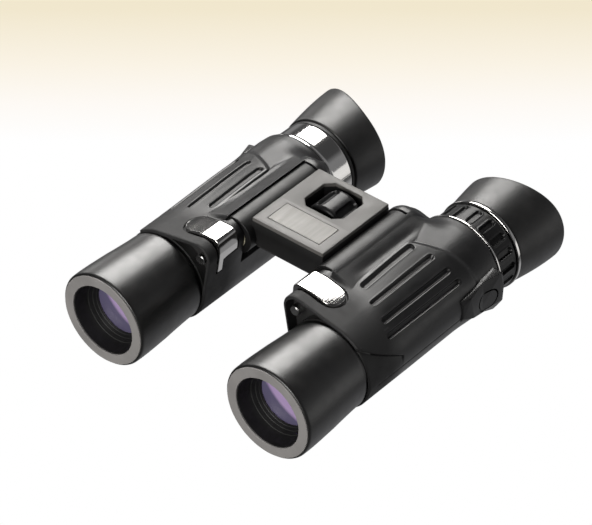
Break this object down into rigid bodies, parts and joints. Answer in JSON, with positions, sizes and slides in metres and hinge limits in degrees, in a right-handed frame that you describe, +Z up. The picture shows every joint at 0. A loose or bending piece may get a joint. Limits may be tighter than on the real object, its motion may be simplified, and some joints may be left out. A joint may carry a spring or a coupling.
{
  "type": "binoculars",
  "caption": "Compact roof-prism binoculars with a double-hinge bridge, centre focus wheel, rubber armour, winged eyecups and a dioptre ring.",
  "frame": {"origin": "centre of the base rectangle, on the surface that the open binoculars lie on", "axes": "+Y from the objectives to the eyepieces, +Z up, +X to the right of someone who faces the objectives"},
  "size_m": [0.1188, 0.1442, 0.0438],
  "materials": {
    "satin_black_metal": "satin black paint",
    "plate_grey": "satin warm grey paint",
    "ring_grey": "satin grey paint",
    "nameplate_silver": "brushed, pale silver",
    "armour_rubber": "satin black rubber",
    "eyecup_rubber": "soft dark grey rubber",
    "chrome": "polished",
    "gloss_black": "gloss black",
    "coated_glass": "clear with a violet coating",
    "prism_glass": "clear",
    "steel": "turned steel",
    "brass": "turned brass",
    "inner_black": "matte black anodised",
    "seal_rubber": "matte black rubber",
    "washer_plastic": "natural, matte"
  },
  "bodies": {
    "bridge": {"bridge_body": "satin_black_metal", "bridge_plate": "plate_grey", "nameplate": "nameplate_silver", "bridge_base": "satin_black_metal", "base_screws": "steel", "spindle_bushes": "brass"},
    "focus_knob": {"focus_wheel": "gloss_black", "focus_spindle": "steel"},
    "focus_slider": {"focus_carriage": "brass", "push_rods": "steel"},
    "left_barrel": {"left_housing": "satin_black_metal", "left_armour": "armour_rubber", "left_objective_tube": "satin_black_metal", "left_front_ring": "ring_grey", "left_objective_lens": "coated_glass", "left_lens_ring": "inner_black", "left_objective_seal": "seal_rubber", "left_prism_cage": "inner_black", "left_roof_prism": "prism_glass", "left_half_prism": "prism_glass", "left_prism_clamp": "steel", "left_eyepiece_tube": "inner_black", "left_collar": "chrome", "left_cup_ring": "chrome", "left_strap_lug": "armour_rubber", "left_hinge_pins": "steel", "left_hinge_clip": "chrome", "left_hinge_washers": "washer_plastic", "left_field_lens": "coated_glass", "left_eye_lens": "coated_glass"},
    "right_barrel": {"right_housing": "satin_black_metal", "right_armour": "armour_rubber", "right_objective_tube": "satin_black_metal", "right_front_ring": "ring_grey", "right_objective_lens": "coated_glass", "right_lens_ring": "inner_black", "right_objective_seal": "seal_rubber", "right_prism_cage": "inner_black", "right_roof_prism": "prism_glass", "right_half_prism": "prism_glass", "right_prism_clamp": "steel", "right_eyepiece_tube": "inner_black", "right_collar": "chrome", "right_cup_ring": "chrome", "right_strap_lug": "armour_rubber", "right_hinge_pins": "steel", "right_hinge_clip": "chrome", "right_hinge_washers": "washer_plastic"},
    "left_focus_group": {"left_focus_cell": "inner_black", "left_focus_lens": "coated_glass"},
    "right_focus_group": {"right_focus_cell": "inner_black", "right_focus_lens": "coated_glass"},
    "right_ocular": {"right_ocular_cell": "inner_black", "right_field_lens": "coated_glass", "right_eye_lens": "coated_glass"},
    "diopter": {"right_diopter_ring": "gloss_black"},
    "left_cup": {"left_eyecup": "eyecup_rubber"},
    "right_cup": {"right_eyecup": "eyecup_rubber"}
  },
  "joints": [
    {"name": "right_hinge", "type": "hinge", "parent": "bridge", "child": "right_barrel", "pos_m": [0.0218, 0, 0.03474], "axis": [0, 1, 0], "range_deg": [0, 50]},
    {"name": "left_hinge", "type": "hinge", "parent": "bridge", "child": "left_barrel", "pos_m": [-0.0218, 0, 0.03474], "axis": [0, -1, 0], "range_deg": [0, 50]},
    {"name": "focus_wheel_turn", "type": "hinge", "parent": "bridge", "child": "focus_knob", "pos_m": [0, 0.01037, 0.03534], "axis": [0, 1, 0], "range_deg": [-180, 180]},
    {"name": "focus_carriage_slide", "type": "slide", "parent": "bridge", "child": "focus_slider", "axis": [0, 1, 0], "range_m": [-0.0016, 0.0016]},
    {"name": "left_focus_slide", "type": "slide", "parent": "left_barrel", "child": "left_focus_group", "axis": [0, 1, 0], "range_m": [-0.0016, 0.0016]},
    {"name": "right_focus_slide", "type": "slide", "parent": "right_barrel", "child": "right_focus_group", "axis": [0, 1, 0], "range_m": [-0.0016, 0.0016]},
    {"name": "diopter_turn", "type": "hinge", "parent": "right_barrel", "child": "diopter", "pos_m": [0.0381, 0.04087, 0.01994], "axis": [0, 1, 0], "range_deg": [-30, 30]},
    {"name": "right_ocular_slide", "type": "slide", "parent": "right_barrel", "child": "right_ocular", "axis": [0, 1, 0], "range_m": [-0.0008, 0.0008]},
    {"name": "left_cup_turn", "type": "hinge", "parent": "left_barrel", "child": "left_cup", "pos_m": [-0.0381, 0.04987, 0.01994], "axis": [0, 1, 0], "range_deg": [-30, 30]},
    {"name": "right_cup_turn", "type": "hinge", "parent": "right_barrel", "child": "right_cup", "pos_m": [0.0381, 0.04987, 0.01994], "axis": [0, 1, 0], "range_deg": [-30, 30]}
  ],
  "couplings": [
    {"joint": "focus_carriage_slide", "follows": "focus_wheel_turn", "m_per_rad": 0.0005093},
    {"joint": "left_focus_slide", "follows": "focus_wheel_turn", "m_per_rad": 0.0005093},
    {"joint": "right_focus_slide", "follows": "focus_wheel_turn", "m_per_rad": 0.0005093},
    {"joint": "right_ocular_slide", "follows": "diopter_turn", "m_per_rad": 0.0015279}
  ]
}
